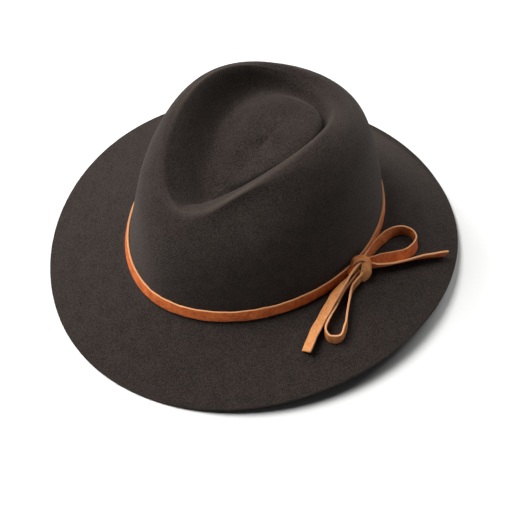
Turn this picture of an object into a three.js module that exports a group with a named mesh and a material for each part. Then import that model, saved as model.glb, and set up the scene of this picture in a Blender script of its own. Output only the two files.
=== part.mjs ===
// A wide-brim wool felt hat with a teardrop crown and a leather lace tied round it in a bow.
// Millimetres, +Z up. The front of the hat looks along -Y and the wearer's left is +X.
// The origin is on the surface that the hat rests on, under the middle of the brim.

import * as THREE from 'three';
import { mergeVertices } from 'three/addons/utils/BufferGeometryUtils.js';

// Driving sizes of the felt
const HEAD_LENGTH = 200;
const HEAD_WIDTH = 164;
const CROWN_HEIGHT = 105;
const BRIM_WIDTH = 62;
const FELT = 2;
const FOOT_RADIUS = 6;

// How far the brim slopes down from the foot of the crown, in degrees
const BRIM_DROP_FRONT = 26;
const BRIM_DROP_SIDE = 15;
const BRIM_DROP_BACK = 29.5;
const FOOT_DIP_FRONT = 3;

// How far the weight of the hat flattens the brim at the front and back
const BRIM_PRESS = 2;

// Driving sizes of the leather lace and its knot
const LACE_WIDTH = 8;
const LACE_THICKNESS = 1.5;
const BAND_LIFT = 3;
const KNOT_ANGLE = 79.5;
const KNOT_LENGTH = 10;
const KNOT_DEPTH = 6.6;
const KNOT_HEIGHT = 12;
const CLEARANCE = 0.3;

// Steps round the hat, and steps between two rows of a table
const SEGMENTS = 64;
const CROWN_STEPS = 3;
const LACE_STEPS = 3;
const FOOT_STEPS = 5;
const BRIM_STEPS = [0.2, 0.4, 0.6, 0.78, 0.93, 1];
const KNOT_SIDES = 20;

// The outside of the crown, from its foot up to the ridge and down into the hollow round the dome.
// Half widths are shares of half the outer head width, and reaches to the front and back are shares of
// half the outer head length. Heights are shares of the crown height. A larger point draws the front
// of a row towards the tip of the teardrop. Aside moves a row towards the wearer's left, as a share of
// half the outer head width.
const CROWN = [
  {
    row: 'foot', half: 1.0, front: 1.0, back: 1.0, point: 0.05, aside: 0,
    zFront: 0, zSide: 0, zBack: 0,
  },
  {
    row: 'low', half: 0.955, front: 0.955, back: 0.965, point: 0.09, aside: 0,
    zFront: 0.26, zSide: 0.325, zBack: 0.33,
  },
  {
    row: 'mid', half: 0.86, front: 0.89, back: 0.865, point: 0.04, aside: 0,
    zFront: 0.47, zSide: 0.69, zBack: 0.71,
  },
  {
    row: 'shoulder', half: 0.73, front: 0.785, back: 0.76, point: 0.03, aside: -0.005,
    zFront: 0.61, zSide: 0.905, zBack: 0.81,
  },
  {
    row: 'crest', half: 0.625, front: 0.7, back: 0.69, point: 0.06, aside: -0.055,
    zFront: 0.66, zSide: 0.975, zBack: 0.795,
  },
  {
    row: 'ridge', half: 0.535, front: 0.605, back: 0.66, point: 0.4, aside: -0.08,
    zFront: 0.625, zSide: 0.955, zBack: 0.78,
  },
  {
    row: 'hollow', half: 0.415, front: 0.45, back: 0.57, point: 0.8, aside: -0.03,
    zFront: 0.57, zSide: 0.755, zBack: 0.745,
  },
  {
    row: 'dome', half: 0.255, front: 0.25, back: 0.47, point: 0.5, aside: 0.055,
    zFront: 0.69, zSide: 0.8, zBack: 0.8,
  },
  {
    row: 'top', half: 0, front: -0.12, back: 0.12, point: 0, aside: 0,
    zFront: 0.815, zSide: 0.815, zBack: 0.815,
  },
];

// Hollows that a hand pinches into the wall: the angle round the crown and how far round they spread
// to each side, in degrees; the number of the row that they are deepest at and how many rows they
// spread up and down; and how deep they are, as a share of half the outer head width.
const PINCHES = [
  { side: 'left', angle: 133, wide: 32, row: 3.0, tall: 1.3, deep: 0.17 },
];

// The bow's laces. Each row places the lower edge of a lace on the brim: the turn round the crown
// in degrees from the knot, positive towards the back; the reach out from the foot of the crown as a
// share of the brim width; the lift off the felt as a share of the lace width; and the lean of the
// lace in degrees, 0 standing on edge and positive towards the crown.
const LOOP_UPPER = [
  { turn: 4, out: 0.065, lift: 0.25, lean: 0 },
  { turn: 11, out: 0.07, lift: 0.12, lean: 5 },
  { turn: 17, out: 0.13, lift: 0.06, lean: 10 },
  { turn: 22, out: 0.22, lift: 0.04, lean: 10 },
  { turn: 25, out: 0.34, lift: 0.04, lean: 0 },
  { turn: 23.8, out: 0.465, lift: 0.04, lean: 0 },
  { turn: 19.5, out: 0.465, lift: 0.04, lean: 10 },
  { turn: 14.5, out: 0.38, lift: 0.04, lean: 20 },
  { turn: 9.8, out: 0.26, lift: 0.08, lean: 20 },
  { turn: 4.2, out: 0.125, lift: 0.15, lean: 5 },
];
const TAIL_UPPER = [
  { turn: 3.8, out: 0.165, lift: 0.15, lean: -10 },
  { turn: 8, out: 0.28, lift: 0.06, lean: -20 },
  { turn: 12.3, out: 0.39, lift: 0.04, lean: -30 },
  { turn: 18, out: 0.57, lift: 0.04, lean: -15 },
  { turn: 22, out: 0.75, lift: 0.04, lean: 10 },
  { turn: 24.2, out: 0.87, lift: 0.04, lean: 20 },
];
const LOOP_LOWER = [
  { turn: -3.8, out: 0.15, lift: 0.15, lean: 0 },
  { turn: -9.5, out: 0.17, lift: 0.06, lean: 0 },
  { turn: -14.5, out: 0.27, lift: 0.04, lean: -5 },
  { turn: -18, out: 0.38, lift: 0.04, lean: 0 },
  { turn: -21, out: 0.5, lift: 0.04, lean: 10 },
  { turn: -24.5, out: 0.575, lift: 0.04, lean: 0 },
  { turn: -27.5, out: 0.52, lift: 0.04, lean: 0 },
  { turn: -27.5, out: 0.42, lift: 0.04, lean: 0 },
  { turn: -25.2, out: 0.33, lift: 0.04, lean: -10 },
  { turn: -20.5, out: 0.225, lift: 0.04, lean: -20 },
  { turn: -13, out: 0.13, lift: 0.04, lean: -10 },
  { turn: -4.2, out: 0.1, lift: 0.12, lean: 0 },
];
const TAIL_LOWER = [
  { turn: -4, out: 0.055, lift: 0.4, lean: 0 },
  { turn: -8.5, out: 0.06, lift: 0.7, lean: -20 },
  { turn: -13, out: 0.065, lift: 0.85, lean: -45 },
  { turn: -17.5, out: 0.09, lift: 0.8, lean: -60 },
  { turn: -22, out: 0.145, lift: 0.65, lean: -70 },
  { turn: -27, out: 0.225, lift: 0.42, lean: -75 },
  { turn: -32, out: 0.335, lift: 0.25, lean: -75 },
  { turn: -37, out: 0.5, lift: 0.12, lean: -75 },
];

// Sizes worked out from the driving ones
const HALF_WIDTH = HEAD_WIDTH / 2 + FELT;
const HALF_LENGTH = HEAD_LENGTH / 2 + FELT;
const radians = THREE.MathUtils.degToRad;
const FOOT_HEIGHT = footHeight();
const [FOOT_ROW, LOW_ROW] = crownRows(1);

// A value that goes smoothly from the back round the side to the front
function around(front, side, back, angle) {
  const c = Math.cos(angle);
  return side + ((back - front) / 2) * c + ((front + back) / 2 - side) * c * c;
}

// Height of the crown's foot above the surface that the lower of the front and back edges presses on
function footHeight() {
  const drop = (degrees) => BRIM_WIDTH * Math.sin(radians(degrees)) + FELT * Math.cos(radians(degrees));
  return Math.min(drop(BRIM_DROP_FRONT) + FOOT_DIP_FRONT, drop(BRIM_DROP_BACK)) - BRIM_PRESS;
}

// A teardrop outline in plan: angle 0 at the back, pi at the front
function outline(half, front, back, point, angle) {
  const widest = (2 / Math.sqrt(point + 2)) * ((point + 1) / (point + 2)) ** ((point + 1) / 2);
  const swell = Math.sin(angle) * Math.abs(Math.cos(angle / 2)) ** point;
  const y = (back - front) / 2 + ((back + front) / 2) * Math.cos(angle);
  return new THREE.Vector2((half * swell) / widest, y);
}

// A cubic through the rows of a table, with the given number of steps from each row to the next.
// The row past the last one sets the slope that the cubic ends with.
function smoothRows(table, steps, past = table[table.length - 1]) {
  const keys = Object.keys(table[0]).filter((key) => key !== 'row');
  const rows = [];
  for (let i = 0; i < (table.length - 1) * steps + 1; i += 1) {
    const k = Math.min(Math.floor(i / steps), table.length - 2);
    const t = i / steps - k;
    const before = table[Math.max(k - 1, 0)];
    const after = k + 2 < table.length ? table[k + 2] : past;
    const row = {};
    for (const key of keys) {
      const [a, b] = [table[k][key], table[k + 1][key]];
      const [ta, tb] = [(b - before[key]) / 2, (after[key] - a) / 2];
      row[key] = a + t * (ta + t * (3 * (b - a) - 2 * ta - tb + t * (2 * (a - b) + ta + tb)));
    }
    rows.push(row);
  }
  return rows;
}

// The crown's rows, with the given number of steps from each row to the next
function crownRows(steps) {
  const rows = smoothRows(CROWN, steps, acrossTop(CROWN[CROWN.length - 2]));
  return rows.map((row, i) => ({ ...row, level: i / steps }));
}

// How far the pinches push the wall in: each is a bell curve round the crown times one up it
function pinchDepth(level, angle) {
  let depth = 0;
  for (const pinch of PINCHES) {
    const turn = (angle - radians(pinch.angle)) / radians(pinch.wide);
    const climb = (level - pinch.row) / pinch.tall;
    depth += pinch.deep * HALF_WIDTH * Math.exp(-(turn ** 2) - climb ** 2);
  }
  return depth;
}

function crownPoint(row, angle) {
  const [half, front, back] = [row.half * HALF_WIDTH, row.front * HALF_LENGTH, row.back * HALF_LENGTH];
  const plan = outline(half, front, back, row.point, angle);
  const depth = pinchDepth(row.level, angle);
  const x = plan.x + row.aside * HALF_WIDTH - depth * Math.sin(angle);
  const y = plan.y - depth * Math.cos(angle);
  const rise = around(row.zFront, row.zSide, row.zBack, angle) * CROWN_HEIGHT;
  return new THREE.Vector3(x, y, FOOT_HEIGHT - footDip(angle) + rise);
}

// The crown's foot sits a little lower at the front
function footDip(angle) {
  return around(FOOT_DIP_FRONT, 0, 0, angle);
}

// Outward direction in plan at the foot of the crown
function outward(angle) {
  const step = 1e-3;
  const a = crownPoint(FOOT_ROW, angle - step);
  const b = crownPoint(FOOT_ROW, angle + step);
  return new THREE.Vector3(a.y - b.y, b.x - a.x, 0).normalize();
}

// A point on top of the brim, before the front and back are pressed flat
function brimPoint(angle, reach) {
  const drop = radians(around(BRIM_DROP_FRONT, BRIM_DROP_SIDE, BRIM_DROP_BACK, angle));
  const point = crownPoint(FOOT_ROW, angle);
  point.addScaledVector(outward(angle), reach * Math.cos(drop));
  point.z -= reach * Math.sin(drop);
  return point;
}

// The corner between crown and brim, rounded by a quadratic curve from wall to brim
function footCurve(angle, t) {
  const [foot, low] = [crownPoint(FOOT_ROW, angle), crownPoint(LOW_ROW, angle)];
  const wall = foot.clone().lerp(low, FOOT_RADIUS / foot.distanceTo(low));
  const brim = brimPoint(angle, FOOT_RADIUS);
  return wall
    .multiplyScalar((1 - t) ** 2)
    .addScaledVector(foot, 2 * t * (1 - t))
    .addScaledVector(brim, t ** 2);
}

// A row of the dome as it goes on past the top, on the other side
function acrossTop(row) {
  return { ...row, half: -row.half, front: -row.back, back: -row.front, zFront: row.zBack, zBack: row.zFront };
}

// The outside of the felt in rows, from the top of the dome down the wall and out to the brim's edge
function feltOutside() {
  const angles = [];
  for (let j = 0; j < SEGMENTS; j += 1) angles.push((2 * Math.PI * j) / SEGMENTS);
  const rows = crownRows(CROWN_STEPS).reverse().slice(1, -1);
  const grid = rows.map((row) => angles.map((angle) => crownPoint(row, angle)));
  for (let i = 0; i <= FOOT_STEPS; i += 1) {
    grid.push(angles.map((angle) => footCurve(angle, i / FOOT_STEPS)));
  }
  for (const share of BRIM_STEPS) {
    const reach = FOOT_RADIUS + share * (BRIM_WIDTH - FOOT_RADIUS);
    grid.push(angles.map((angle) => brimPoint(angle, reach)));
  }
  return grid;
}

// Outward normal of a grid point, from its neighbours
function gridNormal(grid, i, j) {
  const count = grid[i].length;
  const above = grid[Math.max(i - 1, 0)][j];
  const below = grid[Math.min(i + 1, grid.length - 1)][j];
  const left = grid[i][(j + count - 1) % count];
  const right = grid[i][(j + 1) % count];
  const across = right.clone().sub(left);
  return across.cross(below.clone().sub(above)).normalize();
}

function meshFrom(points, faces) {
  const geometry = new THREE.BufferGeometry();
  const places = points.flatMap((p) => [p.x, p.y, p.z]);
  geometry.setAttribute('position', new THREE.Float32BufferAttribute(places, 3));
  geometry.setIndex(faces);
  geometry.computeVertexNormals();
  return geometry;
}

// Crown and brim as one felt wall, hollow inside and open below
function feltBody() {
  const outside = feltOutside();
  const inside = outside.map((ring, i) => ring.map((point, j) => {
    return point.clone().addScaledVector(gridNormal(outside, i, j), -FELT);
  }));
  // The resting brim is pressed flat where its underside would reach below the surface
  for (let i = 0; i < outside.length; i += 1) {
    for (let j = 0; j < SEGMENTS; j += 1) {
      const lift = Math.max(0, -inside[i][j].z);
      inside[i][j].z += lift;
      outside[i][j].z += lift;
    }
  }
  const top = crownPoint(crownRows(1).pop(), 0);
  const under = top.clone();
  under.z -= FELT;
  const rings = [...outside, ...inside.reverse()];
  const points = [top, ...rings.flat(), under];
  const at = (i, j) => 1 + i * SEGMENTS + (j % SEGMENTS);
  const faces = [];
  for (let j = 0; j < SEGMENTS; j += 1) {
    faces.push(0, at(0, j + 1), at(0, j));
    faces.push(points.length - 1, at(rings.length - 1, j), at(rings.length - 1, j + 1));
  }
  for (let i = 0; i < rings.length - 1; i += 1) {
    for (let j = 0; j < SEGMENTS; j += 1) {
      faces.push(at(i, j), at(i, j + 1), at(i + 1, j + 1));
      faces.push(at(i, j), at(i + 1, j + 1), at(i + 1, j));
    }
  }
  return meshFrom(points, faces);
}

// The felt's outside at a height above the crown's foot, on the rounded corner or the wall above it
function wallAt(angle, rise) {
  const [foot, low] = [crownPoint(FOOT_ROW, angle), crownPoint(LOW_ROW, angle)];
  let point = foot.clone().lerp(low, rise / (low.z - foot.z));
  for (let i = 0; i < FOOT_STEPS; i += 1) {
    const [a, b] = [footCurve(angle, i / FOOT_STEPS), footCurve(angle, (i + 1) / FOOT_STEPS)];
    const z = foot.z + rise;
    if (a.z >= z && b.z <= z) point = a.lerp(b, (a.z - z) / (a.z - b.z));
  }
  return point;
}

// The four corners of the band at an angle: it lies on the wall above and on the rounded corner below
function bandCorners(angle) {
  const low = wallAt(angle, BAND_LIFT).addScaledVector(outward(angle), CLEARANCE);
  const high = wallAt(angle, BAND_LIFT + LACE_WIDTH).addScaledVector(outward(angle), CLEARANCE);
  const up = high.sub(low).setLength(LACE_WIDTH);
  const through = alongFoot(angle).cross(up).setLength(LACE_THICKNESS);
  const inner = [low, low.clone().add(up)];
  return [inner[0], inner[1], inner[1].clone().add(through), inner[0].clone().add(through)];
}

// Direction round the foot of the crown in plan, towards the back on the left side
function alongFoot(angle) {
  return new THREE.Vector3(0, 0, 1).cross(outward(angle));
}

function hatBand() {
  const points = [];
  const faces = [];
  for (let j = 0; j < SEGMENTS; j += 1) {
    points.push(...bandCorners((2 * Math.PI * j) / SEGMENTS));
  }
  const at = (j, k) => (j % SEGMENTS) * 4 + (k % 4);
  for (let j = 0; j < SEGMENTS; j += 1) {
    for (let k = 0; k < 4; k += 1) {
      faces.push(at(j, k), at(j + 1, k + 1), at(j, k + 1));
      faces.push(at(j, k), at(j + 1, k), at(j + 1, k + 1));
    }
  }
  return meshFrom(points, faces);
}

// A flat lace swept along its lower edge, as a closed solid with flat ends
function laceFrom(table) {
  const rows = smoothRows(table, LACE_STEPS);
  const knot = radians(KNOT_ANGLE);
  const edge = rows.map((row) => {
    const point = brimPoint(knot - radians(row.turn), row.out * BRIM_WIDTH);
    point.z += row.lift * LACE_WIDTH + CLEARANCE;
    return point;
  });
  const points = [];
  rows.forEach((row, i) => {
    const ahead = edge[Math.min(i + 1, edge.length - 1)];
    const tangent = ahead.clone().sub(edge[Math.max(i - 1, 0)]).normalize();
    const lean = radians(row.lean);
    const up = outward(knot - radians(row.turn)).multiplyScalar(-Math.sin(lean));
    up.z = Math.cos(lean);
    up.addScaledVector(tangent, -up.dot(tangent)).setLength(LACE_WIDTH);
    const half = new THREE.Vector3().crossVectors(tangent, up).setLength(LACE_THICKNESS / 2);
    const [low, high] = [edge[i], edge[i].clone().add(up)];
    points.push(low.clone().sub(half), high.clone().sub(half), high.clone().add(half), low.clone().add(half));
  });
  const faces = [0, 2, 1, 0, 3, 2];
  const last = points.length - 4;
  faces.push(last, last + 1, last + 2, last, last + 2, last + 3);
  for (let i = 0; i < last; i += 4) {
    for (let k = 0; k < 4; k += 1) {
      const n = (k + 1) % 4;
      faces.push(i + k, i + 4 + n, i + 4 + k, i + k, i + n, i + 4 + n);
    }
  }
  return meshFrom(points, faces);
}

// The knot: a rounded block with flat ends that the laces come out of
function bowKnot() {
  const section = new THREE.Shape().absellipse(0, 0, KNOT_DEPTH / 2, KNOT_HEIGHT / 2, 0, 2 * Math.PI);
  const geometry = new THREE.ExtrudeGeometry(section, {
    depth: KNOT_LENGTH,
    bevelEnabled: false,
    curveSegments: KNOT_SIDES,
  });
  geometry.translate(0, 0, -KNOT_LENGTH / 2);
  const angle = radians(KNOT_ANGLE);
  const basis = new THREE.Matrix4();
  basis.makeBasis(outward(angle), new THREE.Vector3(0, 0, 1), alongFoot(angle).multiplyScalar(-1));
  geometry.applyMatrix4(basis);
  return geometry;
}

function knotPlace() {
  const angle = radians(KNOT_ANGLE);
  const outer = Math.max(...bandCorners(angle).map((corner) => corner.dot(outward(angle))));
  const foot = brimPoint(angle, KNOT_DEPTH / 2 + LACE_THICKNESS + CLEARANCE);
  const reach = outer + CLEARANCE + KNOT_DEPTH / 2 - foot.dot(outward(angle));
  const place = foot.addScaledVector(outward(angle), reach);
  place.z += KNOT_HEIGHT / 2 + CLEARANCE;
  return place;
}

const felt = new THREE.MeshStandardMaterial({ color: 0x352f2d, roughness: 1, metalness: 0 });
const leather = new THREE.MeshStandardMaterial({ color: 0xb8622f, roughness: 0.75, metalness: 0 });

function named(name, geometry, material) {
  geometry.deleteAttribute('normal');
  geometry.deleteAttribute('uv');
  const mesh = new THREE.Mesh(mergeVertices(geometry, 1e-3), material.clone());
  mesh.name = name;
  return mesh;
}

const hat = new THREE.Group();
hat.name = 'hat';
hat.add(named('felt_body', feltBody(), felt));
hat.add(named('hat_band', hatBand(), leather));
const knot = named('bow_knot', bowKnot(), leather);
knot.position.copy(knotPlace());
hat.add(knot);
hat.add(named('bow_loop_upper', laceFrom(LOOP_UPPER), leather));
hat.add(named('bow_loop_lower', laceFrom(LOOP_LOWER), leather));
hat.add(named('bow_tail_upper', laceFrom(TAIL_UPPER), leather));
hat.add(named('bow_tail_lower', laceFrom(TAIL_LOWER), leather));

hat.position.y = -(brimPoint(0, BRIM_WIDTH).y + brimPoint(Math.PI, BRIM_WIDTH).y) / 2;

export default hat;
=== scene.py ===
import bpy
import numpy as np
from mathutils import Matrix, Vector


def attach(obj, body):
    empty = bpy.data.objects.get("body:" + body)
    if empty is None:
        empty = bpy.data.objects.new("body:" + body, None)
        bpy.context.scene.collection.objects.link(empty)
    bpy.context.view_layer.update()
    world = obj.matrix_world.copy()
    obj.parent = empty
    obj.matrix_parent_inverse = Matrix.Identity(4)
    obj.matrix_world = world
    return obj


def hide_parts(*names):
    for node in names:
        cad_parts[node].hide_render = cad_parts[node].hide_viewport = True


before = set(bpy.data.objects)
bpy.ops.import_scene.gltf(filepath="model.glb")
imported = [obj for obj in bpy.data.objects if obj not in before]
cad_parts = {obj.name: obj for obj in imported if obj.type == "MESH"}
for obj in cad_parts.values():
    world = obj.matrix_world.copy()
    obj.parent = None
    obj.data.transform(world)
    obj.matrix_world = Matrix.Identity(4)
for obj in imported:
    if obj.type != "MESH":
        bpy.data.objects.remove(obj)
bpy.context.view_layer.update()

# A wide-brim wool felt hat with a teardrop crown and a leather lace tied round it in a bow.
# Shapes are worked out in millimetres. +Z is up, the front of the hat looks along -Y, and the
# bow is on the wearer's left, +X.

MM = 0.001

# Driving sizes of the felt, in millimetres
HEAD_LENGTH = 200
HEAD_WIDTH = 164
CROWN_HEIGHT = 105
BRIM_WIDTH = 62
FELT = 2
FOOT_RADIUS = 6
EDGE_RADIUS = 0.9

# The brim's raw edge is half a rounded square: its sine and cosine are raised to this power, where 1
# would be half an ellipse
EDGE_POWER = 0.6

# How far the brim slopes down from the foot of the crown, in degrees
BRIM_DROP_FRONT = 26
BRIM_DROP_SIDE = 15
BRIM_DROP_BACK = 29.5

# How much lower the foot of the crown lies at the front than at the back and sides, and how much of
# the brim's drop is pressed flat where it rests, in millimetres
FOOT_DIP_FRONT = 3
BRIM_PRESS = 2

# Driving sizes of the leather lace and its knot, in millimetres, and the knot's place round the crown
# in degrees from the back
LACE_WIDTH = 8
LACE_THICKNESS = 1.5
LACE_ROUND = 0.35
BAND_LIFT = 3
KNOT_ANGLE = 79.5
KNOT_DEPTH = 6.6
KNOT_HEIGHT = 12
CLEARANCE = 0.3

# The outside of the crown, from its foot up to the ridge and down into the hollow round the dome.
# Half widths are shares of half the outer head width, and reaches to the front and back are shares
# of half the outer head length. Heights are shares of the crown height. A larger point draws the
# front of a row towards the tip of the teardrop. Aside moves a row towards the bow, as a share of half
# the outer head width.
CROWN_COLUMNS = ("half", "front", "back", "point", "z_front", "z_side", "z_back", "aside")
CROWN = {
    "foot": (1.0, 1.0, 1.0, 0.05, 0, 0, 0, 0),
    "low": (0.955, 0.955, 0.965, 0.09, 0.26, 0.325, 0.33, 0),
    "mid": (0.86, 0.89, 0.865, 0.04, 0.47, 0.69, 0.71, 0),
    "shoulder": (0.745, 0.785, 0.765, 0.03, 0.61, 0.89, 0.805, -0.025),
    "crest": (0.625, 0.7, 0.69, 0.06, 0.66, 0.975, 0.795, -0.055),
    "ridge": (0.535, 0.605, 0.64, 0.3, 0.625, 0.955, 0.775, -0.075),
    "hollow": (0.415, 0.45, 0.57, 0.8, 0.57, 0.745, 0.735, -0.03),
    "dome": (0.265, 0.25, 0.47, 0.5, 0.69, 0.815, 0.815, 0.05),
    "top": (0, -0.11, 0.11, 0, 0.82, 0.82, 0.82, 0.05),
}

# Hollows that a hand pinches into the wall: the angle round the crown, how far round they spread to
# each side, both in degrees; the row of the crown's table that they are deepest at and how many rows
# they spread up and down; and how deep they are, as a share of half the outer head width.
PINCH_COLUMNS = ("angle", "wide", "row", "tall", "deep")
PINCHES = {
    "left": (133, 32, 3.0, 1.3, 0.17),
}

# The outward bend, as one over a radius in millimetres, from which a fold's felt is painted paler, and
# how much more of it paints it fully pale: a painted highlight for the light that the folds' raised nap
# catches, partly wear of the nap there
FOLD_HIGHLIGHT_START = 0.05
FOLD_HIGHLIGHT_SPAN = 0.4

# The bow's laces. Each row places the lower edge of a lace on the brim: the turn round the crown
# in degrees from the knot, positive towards the back; the reach out from the foot of the crown as a
# share of the brim width; the lift off the felt as a share of the lace width; and the lean of the
# lace in degrees, 0 standing on edge and positive towards the crown.
LACE_COLUMNS = ("turn", "out", "lift", "lean")
LOOP_UPPER = [
    (1, 0.05, 0.5, 10),
    (4, 0.065, 0.3, 15),
    (11, 0.07, 0.15, 25),
    (17, 0.11, 0.08, 25),
    (22, 0.17, 0.04, 20),
    (25.5, 0.27, 0.04, 8),
    (26.3, 0.39, 0.04, 5),
    (24, 0.485, 0.04, 10),
    (19.5, 0.485, 0.04, 25),
    (14.5, 0.39, 0.04, 35),
    (9.8, 0.26, 0.08, 40),
    (4.2, 0.14, 0.15, 35),
    (1, 0.1, 0.3, 20),
]
TAIL_UPPER = [
    (1, 0.1, 0.3, -10),
    (3.8, 0.14, 0.15, -30),
    (8, 0.24, 0.06, -40),
    (12.3, 0.35, 0.04, -45),
    (18, 0.53, 0.04, -40),
    (22, 0.71, 0.04, -35),
    (24.2, 0.83, 0.04, -30),
]
LOOP_LOWER = [
    (-0.8, 0.11, 0.45, 0),
    (-3.8, 0.15, 0.2, 0),
    (-9.5, 0.17, 0.06, 0),
    (-14.5, 0.27, 0.04, -5),
    (-18, 0.38, 0.04, 0),
    (-21, 0.5, 0.04, 10),
    (-24.5, 0.575, 0.04, 0),
    (-27.5, 0.52, 0.04, 0),
    (-27.5, 0.42, 0.04, 0),
    (-25.2, 0.33, 0.04, -10),
    (-20.5, 0.225, 0.04, -20),
    (-13, 0.13, 0.04, -10),
    (-4.2, 0.1, 0.12, 0),
    (-1.5, 0.08, 0.35, 0),
]
TAIL_LOWER = [
    (-0.5, 0.085, 0.7, 0),
    (-4, 0.07, 0.75, -5),
    (-8.5, 0.062, 0.8, -20),
    (-13, 0.065, 0.85, -45),
    (-17.5, 0.09, 0.8, -60),
    (-22, 0.145, 0.65, -70),
    (-27, 0.225, 0.42, -75),
    (-32, 0.335, 0.25, -75),
    (-37, 0.5, 0.12, -75),
]

# The knot's laces: places in millimetres from the middle of the knot, outward, along the band towards
# the back and up; and the width there as a share of the lace width. Each lace faces away from the
# middle of the knot.
KNOT_COLUMNS = ("out", "along", "up", "wide")
KNOT_CORE = [
    (0, -5.2, -0.5, 0.25),
    (2.4, -3.6, -0.5, 1.1),
    (3.4, 0, 0, 1.6),
    (2.4, 3.6, 0.5, 1.1),
    (0, 5.2, 0.5, 0.25),
]
KNOT_WRAP = [
    (-5.5, -7.5, 6, 0.5),
    (-4.5, -5.5, 9.3, 0.6),
    (-2.5, -1.6, 9.8, 0.62),
    (1, 1.4, 8.2, 0.62),
    (3.6, 2, 4.6, 0.66),
    (4.6, 1, 0, 0.7),
    (4, -0.5, -4, 0.6),
    (1.5, -1.5, -6.5, 0.5),
]
KNOT_TUCK = [
    (1.5, -1.2, 7.6, 0.5),
    (3.4, -2.4, 6, 0.75),
    (5, -4, 3, 1),
    (5, -6, -1, 0.95),
    (3.8, -7.6, -4.6, 0.55),
]
KNOT_END = [
    (-4.5, -1, 4.6, 0.7),
    (-4.4, -4, 5, 0.95),
    (-4.5, -8, 4.6, 1.05),
    (-4.7, -11, 3.4, 0.8),
    (-4.9, -12.6, 1.6, 0.4),
]

# How the width of a hand-cut lace wavers, as rows of a wave's share of the width, its stretch and its
# start in radians. A stretch is the way for one radian of the wave: in millimetres along an open lace,
# and in radians round the crown along the band.
LACE_WAVES = ((0.035, 2.3, 0), (0.03, 5.1, 1))
BAND_WAVES = ((0.03, 1 / 41, 0), (0.025, 1 / 17, 1))

# How finely the surfaces are drawn
SEGMENTS = 288
CROWN_STEPS = 11
FOOT_ROWS = 10
BRIM_ROWS = 22
EDGE_ROWS = 9
BAND_SEGMENTS = 360
LACE_STEPS = 14
CORNER_POINTS = 4

# Sizes of the patterns in the materials and heights of their bumps, in millimetres
FELT_TUFT = 0.9
FELT_CLOUD = 9
FELT_BUMP = 0.4
LEATHER_NAP = 1.6
LEATHER_SCUFF = 6
LEATHER_BUMP = 0.25

# Where a lace's pale cut edge starts and where it is whole, as shares of its half width
CUT_START = 0.915
CUT_WHOLE = 0.96

# Sockets of a mix node go by number: its factor, its two values and its two colours, and then, on the
# way out, the mixed value and the mixed colour
FACTOR, VALUE_A, VALUE_B, COLOUR_A, COLOUR_B = 0, 2, 3, 6, 7
MIXED_VALUE, MIXED_COLOUR = 0, 2

# The camera looks from the front left of the wearer, as the photograph does. Angles are in degrees,
# the lens and the sensor in millimetres and the rest in metres.
CAMERA_AZIMUTH = 44.03
CAMERA_ELEVATION = 49.9
CAMERA_DISTANCE = 1.349
CAMERA_LENS = 127.55
CAMERA_SENSOR = 36
CAMERA_NEAR = 0.05
CAMERA_FAR = 20
LOOK_AT = (0.001, 0.0013, -0.0086)

# The soft boxes: azimuth and elevation in degrees, distance and size in metres, and power in watts
SOFT_BOXES = {
    "key": (-55, 62, 3.0, 1.8, 155),
    "side": (-70, 22, 3.0, 1.4, 48),
    "rim": (180, 40, 3.0, 1.8, 45),
}
LIT_POINT = (0, 0, 0.07)
SURROUND_STRENGTH = 0.05
FLOOR_HALF = 3.0

# Sizes worked out from the driving ones
HALF_WIDTH = HEAD_WIDTH / 2 + FELT
HALF_LENGTH = HEAD_LENGTH / 2 + FELT
KNOT = np.radians(KNOT_ANGLE)
UP = np.array([0.0, 0.0, 1.0])


def unit(vectors):
    """Vectors divided by their own lengths, along the last axis."""
    return vectors / np.linalg.norm(vectors, axis=-1, keepdims=True)


def around(front, side, back, angle):
    """A value that goes smoothly from the back (angle 0) round the side to the front (angle pi).

    It is the side value, plus half the difference of back and front times the cosine, plus what the
    mean of front and back adds to the side value times the cosine squared.
    """
    c = np.cos(angle)
    return side + (back - front) / 2 * c + ((front + back) / 2 - side) * c * c


def brim_drop(degrees):
    """Height from the foot of the crown down to the lower corner of a brim edge at that slope."""
    return BRIM_WIDTH * np.sin(np.radians(degrees)) + FELT * np.cos(np.radians(degrees))


# Height of the crown's foot: the lesser of the brim's drops at the front and back, less what is pressed
# flat there
FOOT_HEIGHT = min(brim_drop(BRIM_DROP_FRONT) + FOOT_DIP_FRONT, brim_drop(BRIM_DROP_BACK)) - BRIM_PRESS


def smooth_rows(rows, at, past=None):
    """A cubic through the rows of a table, read at row numbers that need not be whole.

    Between two rows it is the Hermite cubic whose slope at a row is half the difference of the two
    rows beside it. The row past the last one sets the slope that it ends with.
    """
    rows = np.array(rows, float)
    rows = np.vstack([rows[:1], rows, rows[-1:] if past is None else [past]])
    k = np.clip(np.floor(at).astype(int), 0, len(rows) - 4)
    t = (at - k)[:, None]
    before, a, b, after = (rows[k + i] for i in range(4))
    slope_a = (b - before) / 2
    slope_b = (after - a) / 2
    square = 3 * (b - a) - 2 * slope_a - slope_b
    cube = 2 * (a - b) + slope_a + slope_b
    return a + t * (slope_a + t * (square + t * cube))


def path_columns(names, rows):
    """A path's table read as a smooth curve in even steps from row to row, as a dict of columns."""
    at = np.arange((len(rows) - 1) * LACE_STEPS + 1) / LACE_STEPS
    return dict(zip(names, smooth_rows(rows, at).T))


def crown_rows(at):
    """The crown's table read at row numbers, as a dict of columns. Past the top comes the dome's row
    again, turned round as it is seen across the middle, so the surface runs over the top unbroken."""
    rows = list(CROWN.values())
    half, front, back, point, z_front, z_side, z_back, aside = rows[-2]
    past = (-half, -back, -front, point, z_back, z_side, z_front, aside)
    columns = dict(zip(CROWN_COLUMNS, smooth_rows(rows, at, past).T[:, :, None]))
    return columns | {"row": at[:, None]}


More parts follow.
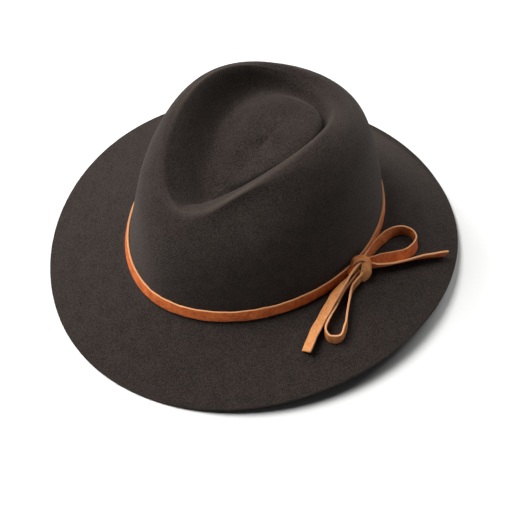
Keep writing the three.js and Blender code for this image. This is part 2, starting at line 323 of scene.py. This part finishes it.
def pinch_depth(row, angle):
    """How far the pinches push the wall in: for each, a bell curve round the crown times one up it."""
    depth = 0
    for values in PINCHES.values():
        pinch = dict(zip(PINCH_COLUMNS, values))
        round_share = (angle - np.radians(pinch["angle"])) / np.radians(pinch["wide"])
        up_share = (row - pinch["row"]) / pinch["tall"]
        depth = depth + pinch["deep"] * HALF_WIDTH * np.exp(-(round_share**2) - up_share**2)
    return depth


def outline(half, front, back, point, angle):
    """A teardrop outline in plan, as x and y: an ellipse whose width is multiplied by a power of the
    cosine of half the angle, which is 1 at the back and 0 at the front, and then divided by the most
    that this comes to, so that the half width stays as given."""
    widest = 2 / np.sqrt(point + 2) * ((point + 1) / (point + 2)) ** ((point + 1) / 2)
    swell = np.sin(angle) * np.abs(np.cos(angle / 2)) ** point
    return half * swell / widest, (back - front) / 2 + (back + front) / 2 * np.cos(angle)


def crown_point(row, angle):
    """Points of the crown's outside: the teardrop outline of each row, moved aside and pushed in by the
    pinches, as high as the foot plus the row's rise, which goes from the back round the side to the
    front."""
    front, back = row["front"] * HALF_LENGTH, row["back"] * HALF_LENGTH
    x, y = outline(row["half"] * HALF_WIDTH, front, back, row["point"], angle)
    rise = around(row["z_front"], row["z_side"], row["z_back"], angle) * CROWN_HEIGHT
    foot = FOOT_HEIGHT - around(FOOT_DIP_FRONT, 0, 0, angle)
    depth = pinch_depth(row["row"], angle)
    x = x + row["aside"] * HALF_WIDTH - depth * np.sin(angle)
    y = y - depth * np.cos(angle)
    x, y, z = np.broadcast_arrays(x, y, foot + rise)
    return np.stack([x, y, z], axis=-1)


def foot_point(angle):
    """Points of the crown's foot, one for each angle."""
    return crown_point(crown_rows(np.array([0.0])), angle)[0]


def outward(angle):
    """Level unit vectors that point away from the crown: the way from a foot point a small step (in
    radians) before to one as far after, turned by a right angle."""
    step = 1e-3
    along = foot_point(angle + step) - foot_point(angle - step)
    return unit(np.stack([-along[:, 1], along[:, 0], 0 * angle], axis=-1))


def brim_point(angle, reach):
    """Points on top of the brim before it is pressed flat: out from the foot by the reach, down a
    slope that goes smoothly from the front round the side to the back."""
    drop = np.radians(around(BRIM_DROP_FRONT, BRIM_DROP_SIDE, BRIM_DROP_BACK, angle))
    slope = outward(angle) * np.cos(drop)[:, None] - UP * np.sin(drop)[:, None]
    return foot_point(angle) + slope * np.asarray(reach)[..., None]


# How far all pieces move along Y, so that the brim reaches as far in front of the origin as behind it
SHIFT_Y = -(brim_point(np.array([0.0, np.pi]), np.array([BRIM_WIDTH, BRIM_WIDTH]))[:, 1].sum()) / 2


def foot_curve(angle, t):
    """The corner between crown and brim: a quadratic curve that leaves the wall and meets the brim one
    radius from the foot, drawn towards the foot."""
    low = crown_point(crown_rows(np.array([1.0])), angle)[0]
    foot = foot_point(angle)
    wall = foot + unit(low - foot) * FOOT_RADIUS
    brim = brim_point(angle, np.full_like(angle, FOOT_RADIUS))
    return wall * (1 - t) ** 2 + foot * 2 * t * (1 - t) + brim * t**2


def grid_normals(grid):
    """Outward unit normals of a grid of points that closes on itself along its second axis."""
    across = np.roll(grid, -1, axis=1) - np.roll(grid, 1, axis=1)
    down = np.empty_like(grid)
    down[1:-1] = grid[2:] - grid[:-2]
    down[0] = grid[1] - grid[0]
    down[-1] = grid[-1] - grid[-2]
    return unit(np.cross(across, down))


def felt_outside(angle):
    """The outside of the felt in rows, from the top of the dome down the wall and out along the brim.
    Rows of the wall that would start below the top of the foot's corner are left out."""
    rows = len(CROWN) - 1
    at = np.arange(rows * CROWN_STEPS - 1, 0, -1) / CROWN_STEPS
    crown = crown_point(crown_rows(at), angle)
    wall_top = foot_curve(angle, 0.0)
    keep = crown[:, :, 2].min(axis=1) > wall_top[:, 2].max()
    grid = [*crown[keep]]
    grid += [foot_curve(angle, t) for t in np.linspace(0, 1, FOOT_ROWS)]
    for reach in np.linspace(FOOT_RADIUS, BRIM_WIDTH - EDGE_RADIUS, BRIM_ROWS)[1:]:
        grid.append(brim_point(angle, np.full_like(angle, reach)))
    return np.array(grid)


def fold_bend(grid, normals):
    """How sharply the surface bends outward at each point, as one over a radius in millimetres: the
    change of normal along the change of place, over that change's length squared, down the rows and
    round them, the two added."""
    down, turned = np.gradient(grid, axis=0), np.gradient(normals, axis=0)
    beside = np.roll(grid, -1, axis=1) - np.roll(grid, 1, axis=1)
    swung = np.roll(normals, -1, axis=1) - np.roll(normals, 1, axis=1)
    return (down * turned).sum(-1) / (down**2).sum(-1) + (beside * swung).sum(-1) / (beside**2).sum(-1)


def tube(rings, first, last):
    """Points and faces of a mesh from rings of points, each closed on itself, with a point at each end
    that closes the surface."""
    count, size = rings.shape[:2]
    points = np.vstack([first[None], rings.reshape(-1, 3), last[None]])
    side = np.arange(size)
    after = np.roll(side, -1)
    ring = 1 + np.arange(count)[:, None] * size
    here, beside = ring[:-1] + side, ring[:-1] + after
    quads = np.stack([here, beside, beside + size, here + size], axis=-1).reshape(-1, 4)
    end = 0 * side + len(points) - 1
    start_fan = np.stack([0 * side, 1 + after, 1 + side], axis=-1)
    end_fan = np.stack([end, ring[-1] + side, ring[-1] + after], axis=-1)
    return points, [quads, start_fan, end_fan]


def hoop(rings):
    """Points and faces of a mesh from rings of points that also follow one another in a circle."""
    count, size = rings.shape[:2]
    here = np.arange(count * size).reshape(count, size)
    beside, ahead = np.roll(here, -1, axis=1), np.roll(here, -1, axis=0)
    quads = np.stack([here, beside, np.roll(beside, -1, axis=0), ahead], axis=-1).reshape(-1, 4)
    return rings.reshape(-1, 3), [quads]


def add_object(name, data):
    """A new object in the scene that holds a mesh, a camera or a light."""
    piece = bpy.data.objects.new(name, data)
    bpy.context.scene.collection.objects.link(piece)
    return piece


def new_piece(name, islands):
    """One object from islands, each of them points, faces and named values, one for each point. An
    island whose volume, summed over its faces as signed tetrahedra from the origin, comes out
    negative has its faces turned round."""
    faces, start = [], 0
    for places, groups, _ in islands:
        corners = places[np.concatenate([group[:, :3] for group in groups])]
        volume = np.einsum("ij,ij->", corners[:, 0], np.cross(corners[:, 1], corners[:, 2]))
        order = -1 if volume < 0 else 1
        for group in groups:
            faces += (group[:, ::order] + start).tolist()
        start += len(places)
    points = np.vstack([places for places, _, _ in islands])
    points[:, 1] += SHIFT_Y
    mesh = bpy.data.meshes.new(name)
    mesh.from_pydata((points * MM).tolist(), [], faces)
    for key in islands[0][2]:
        attribute = mesh.attributes.new(key, "FLOAT", "POINT")
        values = np.concatenate([values[key] for _, _, values in islands])
        attribute.data.foreach_set("value", values.astype(np.float32))
    mesh.shade_smooth()
    return add_object(name, mesh)


def felt_body():
    """Crown and brim as one felt wall: the outside, a rounded raw edge, and the inside one felt deeper.
    Where the brim would dip below the floor it is pressed flat on it. The mesh keeps a painted
    highlight: how much paler the felt is drawn, for the light that the folds' raised nap catches and
    partly for wear of the nap. It grows with the outward bend of the crown's folds and from the back to
    the front, and is none on the dome's top, inside its row."""
    angle = np.arange(SEGMENTS) * 2 * np.pi / SEGMENTS
    outside = felt_outside(angle)
    normals = grid_normals(outside)
    inside = outside - normals * FELT
    turn = np.linspace(0, np.pi, EDGE_ROWS + 2)[1:-1]
    depth = (1 - np.sign(np.cos(turn)) * np.abs(np.cos(turn)) ** EDGE_POWER) / 2 * FELT
    bulge = np.sin(turn) ** EDGE_POWER * EDGE_RADIUS
    reach_out = unit(outside[-1] - outside[-2])
    edge = outside[-1] + reach_out * bulge[:, None, None] - normals[-1] * depth[:, None, None]
    lift = np.maximum(0, -inside[..., 2])
    outside[..., 2] += lift
    inside[..., 2] += lift
    edge[..., 2] = np.maximum(edge[..., 2] + lift[-1], 0)
    rings = np.concatenate([outside, edge, inside[::-1]])
    top = crown_point(crown_rows(np.array([len(CROWN) - 1.0])), np.array([0.0]))[0, 0]
    points, faces = tube(rings, top, top - UP * FELT)
    on_crown = outside[..., 2] > FOOT_HEIGHT + 2 * FOOT_RADIUS
    towards_front = (1 - np.cos(angle)) / 2
    # Painted highlight: the felt is drawn paler on outward folds, more towards the front, for the light
    # that their raised nap catches, partly for wear of the nap
    share = np.clip((fold_bend(outside, normals) - FOLD_HIGHLIGHT_START) / FOLD_HIGHLIGHT_SPAN, 0, 1)
    fold_highlight = share * on_crown * towards_front
    fold_highlight[:CROWN_STEPS] = 0
    nap = np.zeros(len(points))
    nap[1 : 1 + fold_highlight.size] = fold_highlight.ravel()
    return new_piece("felt_hat", [(points, faces, {"nap": nap})])


def lace_section():
    """The lace's cross-section in millimetres, across its width and through its thickness: a rectangle
    whose corners are quarter circles, with three points along each face between them."""
    half_w, half_t = LACE_WIDTH / 2, LACE_THICKNESS / 2
    swing = np.linspace(0, np.pi / 2, CORNER_POINTS)
    across = half_w - LACE_ROUND + LACE_ROUND * np.cos(swing)
    through = half_t - LACE_ROUND + LACE_ROUND * np.sin(swing)
    across = np.concatenate([across, [half_w / 2, 0, -half_w / 2], -across[::-1]])
    through = np.concatenate([through, [half_t] * 3, through[::-1]])
    return np.concatenate([across, -across]), np.concatenate([through, -through])


def strip(middle, across_way, through_way, pale, closed=False):
    """A lace carried along a path: the cross-section set across and through at each point of the path.
    It keeps how far across its width each point lies, from -1 to 1, and how pale its face is, from 0
    where it is dyed to 1 where the flesh side shows."""
    across, through = lace_section()
    rings = (
        middle[:, None]
        + across_way[:, None] * across[None, :, None]
        + through_way[:, None] * through[None, :, None]
    )
    if closed:
        points, faces = hoop(rings)
        ends = []
    else:
        points, faces = tube(rings, rings[0].mean(axis=0), rings[-1].mean(axis=0))
        ends = [0.0]
    span = np.concatenate([ends, np.tile(across / (LACE_WIDTH / 2), len(rings)), ends])
    return points, faces, {"across": span, "pale": np.full(len(points), float(pale))}


def waver(places, waves):
    """How wide a hand-cut lace is along its length, as a share: one, plus for each wave its share times
    the sine of the place over its stretch plus its start."""
    return 1 + sum(share * np.sin(places / stretch + start) for share, stretch, start in waves)


def lace(name, rows, pale):
    """A lace standing or lying on the brim: its lower edge follows the table's rows as a smooth curve,
    and its width goes up from there, square to the curve and leaning as the table says."""
    at = path_columns(LACE_COLUMNS, rows)
    angle = KNOT - np.radians(at["turn"])
    edge = brim_point(angle, at["out"] * BRIM_WIDTH)
    edge[:, 2] += at["lift"] * LACE_WIDTH + CLEARANCE
    tangent = unit(np.gradient(edge, axis=0))
    lean = np.radians(at["lean"])
    up = UP * np.cos(lean)[:, None] - outward(angle) * np.sin(lean)[:, None]
    up = unit(up - tangent * (up * tangent).sum(axis=1, keepdims=True))
    length = np.cumsum(np.linalg.norm(np.gradient(edge, axis=0), axis=1))
    middle = edge + up * LACE_WIDTH / 2
    across = up * waver(length, LACE_WAVES)[:, None]
    return new_piece(name, [strip(middle, across, np.cross(tangent, up), pale)])


def wall_at(angle, rise):
    """The felt's outside at a height above the crown's foot: on the rounded corner, where its quadratic
    curve is solved for that height, or on the straight wall above it."""
    foot = foot_point(angle)
    low = crown_point(crown_rows(np.array([1.0])), angle)[0]
    on_wall = foot + (low - foot) * (rise / (low[:, 2] - foot[:, 2]))[:, None]
    above = foot_curve(angle, 0.0)[:, 2] - foot[:, 2]
    below = foot_curve(angle, 1.0)[:, 2] - foot[:, 2]
    bend = above + below
    t = (above - np.sqrt(np.maximum(above**2 - bend * (above - rise), 0))) / bend
    on_corner = foot_curve(angle, np.clip(t, 0, 1)[:, None])
    return np.where((rise < above)[:, None], on_corner, on_wall)


def band_frame(angle):
    """The band's lower inner corner, the way up its face and the way out through it, at each angle."""
    away = outward(angle)
    low = wall_at(angle, BAND_LIFT) + away * CLEARANCE
    high = wall_at(angle, BAND_LIFT + LACE_WIDTH) + away * CLEARANCE
    up = unit(high - low)
    return low, up, unit(np.cross(np.cross(UP, away), up))


def hat_band():
    """The lace round the crown: it lies on the wall above and on the rounded corner below."""
    angle = np.arange(BAND_SEGMENTS) * 2 * np.pi / BAND_SEGMENTS
    low, up, through = band_frame(angle)
    middle = low + up * LACE_WIDTH / 2 + through * LACE_THICKNESS / 2
    across = up * waver(angle, BAND_WAVES)[:, None]
    return new_piece("hat_band_lace", [strip(middle, across, through, pale=0.0, closed=True)])


def knot_middle():
    """The middle of the knot: beside the outer face of the band, just above the brim."""
    angle = np.array([KNOT])
    away = outward(angle)
    low, up, through = band_frame(angle)
    corners = np.concatenate([low, low + up * LACE_WIDTH]) + through * LACE_THICKNESS
    middle = brim_point(angle, np.array([KNOT_DEPTH / 2 + LACE_THICKNESS + CLEARANCE]))
    reach = (corners @ away[0]).max() + CLEARANCE + KNOT_DEPTH / 2 - middle[0] @ away[0]
    return middle[0] + away[0] * reach + UP * (KNOT_HEIGHT / 2 + CLEARANCE), away[0]


def knot_lace(rows, pale):
    """A lace of the knot through the table's places. Its width is square to its path and to the way
    out from the middle of the knot, so that it faces outward."""
    middle, away = knot_middle()
    at = path_columns(KNOT_COLUMNS, rows)
    axes = np.array([away, np.cross(UP, away), UP])
    offset = np.stack([at["out"], at["along"], at["up"]], axis=-1) @ axes
    tangent = unit(np.gradient(offset, axis=0))
    across = unit(np.cross(tangent, offset))
    return strip(middle + offset, across * at["wide"][:, None], np.cross(across, tangent), pale)


def bow_knot():
    """The knot: a wrap over a core of lace, its end tucked down in front, and the band's end behind,
    each with how pale its face is."""
    laces = ((KNOT_CORE, 0.2), (KNOT_WRAP, 0.6), (KNOT_TUCK, 1.0), (KNOT_END, 0.0))
    return new_piece("bow_knot_laces", [knot_lace(rows, pale) for rows, pale in laces])


def colour(hex_code):
    """An sRGB hex colour as the linear RGBA that shaders read."""
    srgb = np.array([int(hex_code[i : i + 2], 16) for i in (1, 3, 5)]) / 255
    linear = np.where(srgb <= 0.04045, srgb / 12.92, ((srgb + 0.055) / 1.055) ** 2.4)
    return (*linear.tolist(), 1.0)


def add_node(material, kind, values, links=(), **settings):
    """Adds a shader node. Settings are its properties, values the constants of its input sockets, and
    links rows of input socket, node and that node's output socket."""
    node = material.node_tree.nodes.new(kind)
    for name, setting in settings.items():
        setattr(node, name, setting)
    for socket, value in values.items():
        node.inputs[socket].default_value = value
    for socket, source, output in links:
        material.node_tree.links.new(source.outputs[output], node.inputs[socket])
    return node


def new_material(name):
    """An empty node material."""
    material = bpy.data.materials.new(name)
    material.use_nodes = True
    material.node_tree.nodes.clear()
    return material


def wool_felt():
    """Wool felt, blocked and brushed: fibres pressed at random make it matt with a fine grain, and a
    short nap catches light where the surface turns away. The folds are painted paler, a painted
    highlight for the light that their raised nap catches, partly wear of the nap there. Single fibres,
    about 0.02 mm thick, are too fine to show, so the grain is drawn coarser, as tufts, with faint
    clouds where the felt is denser."""
    material = new_material("brushed_wool_felt")
    where = add_node(material, "ShaderNodeTexCoord", {})
    tufts = add_node(
        material,
        "ShaderNodeTexNoise",
        {"Scale": 1 / (FELT_TUFT * MM), "Detail": 3.0, "Roughness": 0.8},
        [("Vector", where, "Object")],
    )
    clouds = add_node(
        material,
        "ShaderNodeTexNoise",
        {"Scale": 1 / (FELT_CLOUD * MM), "Detail": 2.0},
        [("Vector", where, "Object")],
    )
    mixed = add_node(
        material, "ShaderNodeMix", {FACTOR: 0.1}, [(VALUE_A, tufts, "Fac"), (VALUE_B, clouds, "Fac")]
    )
    spread = add_node(
        material,
        "ShaderNodeMapRange",
        {"From Min": 0.36, "From Max": 0.64},
        [("Value", mixed, MIXED_VALUE)],
    )
    tone = add_node(
        material,
        "ShaderNodeMix",
        {COLOUR_A: colour("#0e0a09"), COLOUR_B: colour("#38302c")},
        [(FACTOR, spread, "Result")],
        data_type="RGBA",
    )
    # Painted highlight: where the nap attribute says, the felt is mixed towards a paler colour, for the
    # light that the folds' raised nap catches, partly for wear of the nap
    nap = add_node(material, "ShaderNodeAttribute", {}, attribute_name="nap")
    whole = add_node(
        material,
        "ShaderNodeMix",
        {COLOUR_B: colour("#50463f")},
        [(FACTOR, nap, "Fac"), (COLOUR_A, tone, MIXED_COLOUR)],
        data_type="RGBA",
    )
    bump = add_node(
        material,
        "ShaderNodeBump",
        {"Strength": 0.9, "Distance": FELT_BUMP * MM},
        [("Height", tufts, "Fac")],
    )
    shader = add_node(
        material,
        "ShaderNodeBsdfPrincipled",
        {
            "Roughness": 0.95,
            "Specular IOR Level": 0.15,
            "Sheen Weight": 0.15,
            "Sheen Roughness": 0.45,
            "Sheen Tint": colour("#b8aaa2"),
        },
        [("Base Color", whole, MIXED_COLOUR), ("Normal", bump, "Normal")],
    )
    add_node(material, "ShaderNodeOutputMaterial", {}, [("Surface", shader, "BSDF")])
    return material


def split_leather():
    """Tan split leather cut into lace: a napped face, reddish brown where it is dyed through and sandy
    where the flesh side shows, with darker scuffs, and cut edges of pale raw fibre."""
    material = new_material("tan_leather_lace")
    where = add_node(material, "ShaderNodeTexCoord", {})
    across = add_node(material, "ShaderNodeAttribute", {}, attribute_name="across")
    pale = add_node(material, "ShaderNodeAttribute", {}, attribute_name="pale")
    nap = add_node(
        material,
        "ShaderNodeTexNoise",
        {"Scale": 1 / (LEATHER_NAP * MM), "Detail": 4.0, "Roughness": 0.7},
        [("Vector", where, "Object")],
    )
    scuffs = add_node(
        material,
        "ShaderNodeTexNoise",
        {"Scale": 1 / (LEATHER_SCUFF * MM), "Detail": 3.0},
        [("Vector", where, "Object")],
    )
    mixed = add_node(
        material, "ShaderNodeMix", {FACTOR: 0.4}, [(VALUE_A, nap, "Fac"), (VALUE_B, scuffs, "Fac")]
    )
    spread = add_node(
        material,
        "ShaderNodeMapRange",
        {"From Min": 0.35, "From Max": 0.65},
        [("Value", mixed, MIXED_VALUE)],
    )
    dyed, flesh = (
        add_node(
            material,
            "ShaderNodeMix",
            {COLOUR_A: colour(dark), COLOUR_B: colour(light)},
            [(FACTOR, spread, "Result")],
            data_type="RGBA",
        )
        for dark, light in (("#943c12", "#cc6c30"), ("#a8642f", "#c88c58"))
    )
    face = add_node(
        material,
        "ShaderNodeMix",
        {},
        [(FACTOR, pale, "Fac"), (COLOUR_A, dyed, MIXED_COLOUR), (COLOUR_B, flesh, MIXED_COLOUR)],
        data_type="RGBA",
    )
    distance = add_node(material, "ShaderNodeMath", {}, [(0, across, "Fac")], operation="ABSOLUTE")
    cut = add_node(
        material,
        "ShaderNodeMapRange",
        {"From Min": CUT_START, "From Max": CUT_WHOLE},
        [("Value", distance, "Value")],
    )
    whole = add_node(
        material,
        "ShaderNodeMix",
        {COLOUR_B: colour("#c58c60")},
        [(FACTOR, cut, "Result"), (COLOUR_A, face, MIXED_COLOUR)],
        data_type="RGBA",
    )
    bump = add_node(
        material,
        "ShaderNodeBump",
        {"Strength": 0.5, "Distance": LEATHER_BUMP * MM},
        [("Height", nap, "Fac")],
    )
    shader = add_node(
        material,
        "ShaderNodeBsdfPrincipled",
        {"Roughness": 0.75, "Specular IOR Level": 0.3},
        [("Base Color", whole, MIXED_COLOUR), ("Normal", bump, "Normal")],
    )
    add_node(material, "ShaderNodeOutputMaterial", {}, [("Surface", shader, "BSDF")])
    return material


def floor():
    """A level square of pale paper under the hat: matt and even."""
    material = new_material("pale_paper")
    shader = add_node(
        material,
        "ShaderNodeBsdfPrincipled",
        {"Base Color": colour("#d6d6d5"), "Roughness": 0.9, "Specular IOR Level": 0.1},
    )
    add_node(material, "ShaderNodeOutputMaterial", {}, [("Surface", shader, "BSDF")])
    mesh = bpy.data.meshes.new("floor")
    corners = [(x * FLOOR_HALF, y * FLOOR_HALF, 0) for x, y in ((-1, -1), (1, -1), (1, 1), (-1, 1))]
    mesh.from_pydata(corners, [], [(0, 1, 2, 3)])
    mesh.materials.append(material)
    piece = add_object("floor", mesh)


def direction(azimuth, elevation):
    """Unit vector from the hat towards that azimuth and elevation, 0 being in front of the hat."""
    a, e = np.radians(azimuth), np.radians(elevation)
    return np.array([np.sin(a) * np.cos(e), -np.cos(a) * np.cos(e), np.sin(e)])


def aim(thing, place, target):
    """Puts a camera or light at a place, facing the target."""
    thing.location = place
    way = Vector(target) - Vector(place)
    thing.rotation_euler = way.to_track_quat("-Z", "Y").to_euler()


def camera():
    """The scene's camera, at its distance from the point it looks at."""
    data = bpy.data.cameras.new("camera")
    data.sensor_width = CAMERA_SENSOR
    data.lens = CAMERA_LENS
    data.clip_start = CAMERA_NEAR
    data.clip_end = CAMERA_FAR
    piece = add_object("camera", data)
    target = np.array(LOOK_AT)
    aim(piece, target + direction(CAMERA_AZIMUTH, CAMERA_ELEVATION) * CAMERA_DISTANCE, target)
    bpy.context.scene.camera = piece


def soft_light(name, azimuth, elevation, distance, size, power):
    """A square soft box that faces the hat."""
    data = bpy.data.lights.new(name, "AREA")
    data.size = size
    data.energy = power
    target = np.array(LIT_POINT)
    aim(add_object(name, data), target + direction(azimuth, elevation) * distance, target)


def studio():
    """An even white surround, the soft boxes, and colours shown without a film's curve."""
    world = bpy.data.worlds.new("surround")
    world.use_nodes = True
    background = world.node_tree.nodes["Background"]
    background.inputs["Color"].default_value = colour("#ffffff")
    background.inputs["Strength"].default_value = SURROUND_STRENGTH
    bpy.context.scene.world = world
    for name, values in SOFT_BOXES.items():
        soft_light(name, *values)
    bpy.context.scene.view_settings.view_transform = "Standard"


camera()
studio()
floor()

felt = wool_felt()
leather = split_leather()

for piece, node, slot, material in (
    (felt_body(), "felt_body", "felt", felt),
    (hat_band(), "hat_band", "leather", leather),
    (bow_knot(), "bow_knot", "leather", leather),
    (lace("loop_upper_lace", LOOP_UPPER, pale=0.2), "bow_loop_upper", "leather", leather),
    (lace("loop_lower_lace", LOOP_LOWER, pale=0.75), "bow_loop_lower", "leather", leather),
    (lace("tail_upper_lace", TAIL_UPPER, pale=0.05), "bow_tail_upper", "leather", leather),
    (lace("tail_lower_lace", TAIL_LOWER, pale=1.0), "bow_tail_lower", "leather", leather),
):
    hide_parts(node)
    piece.data.materials.append(material)
    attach(piece, "root")
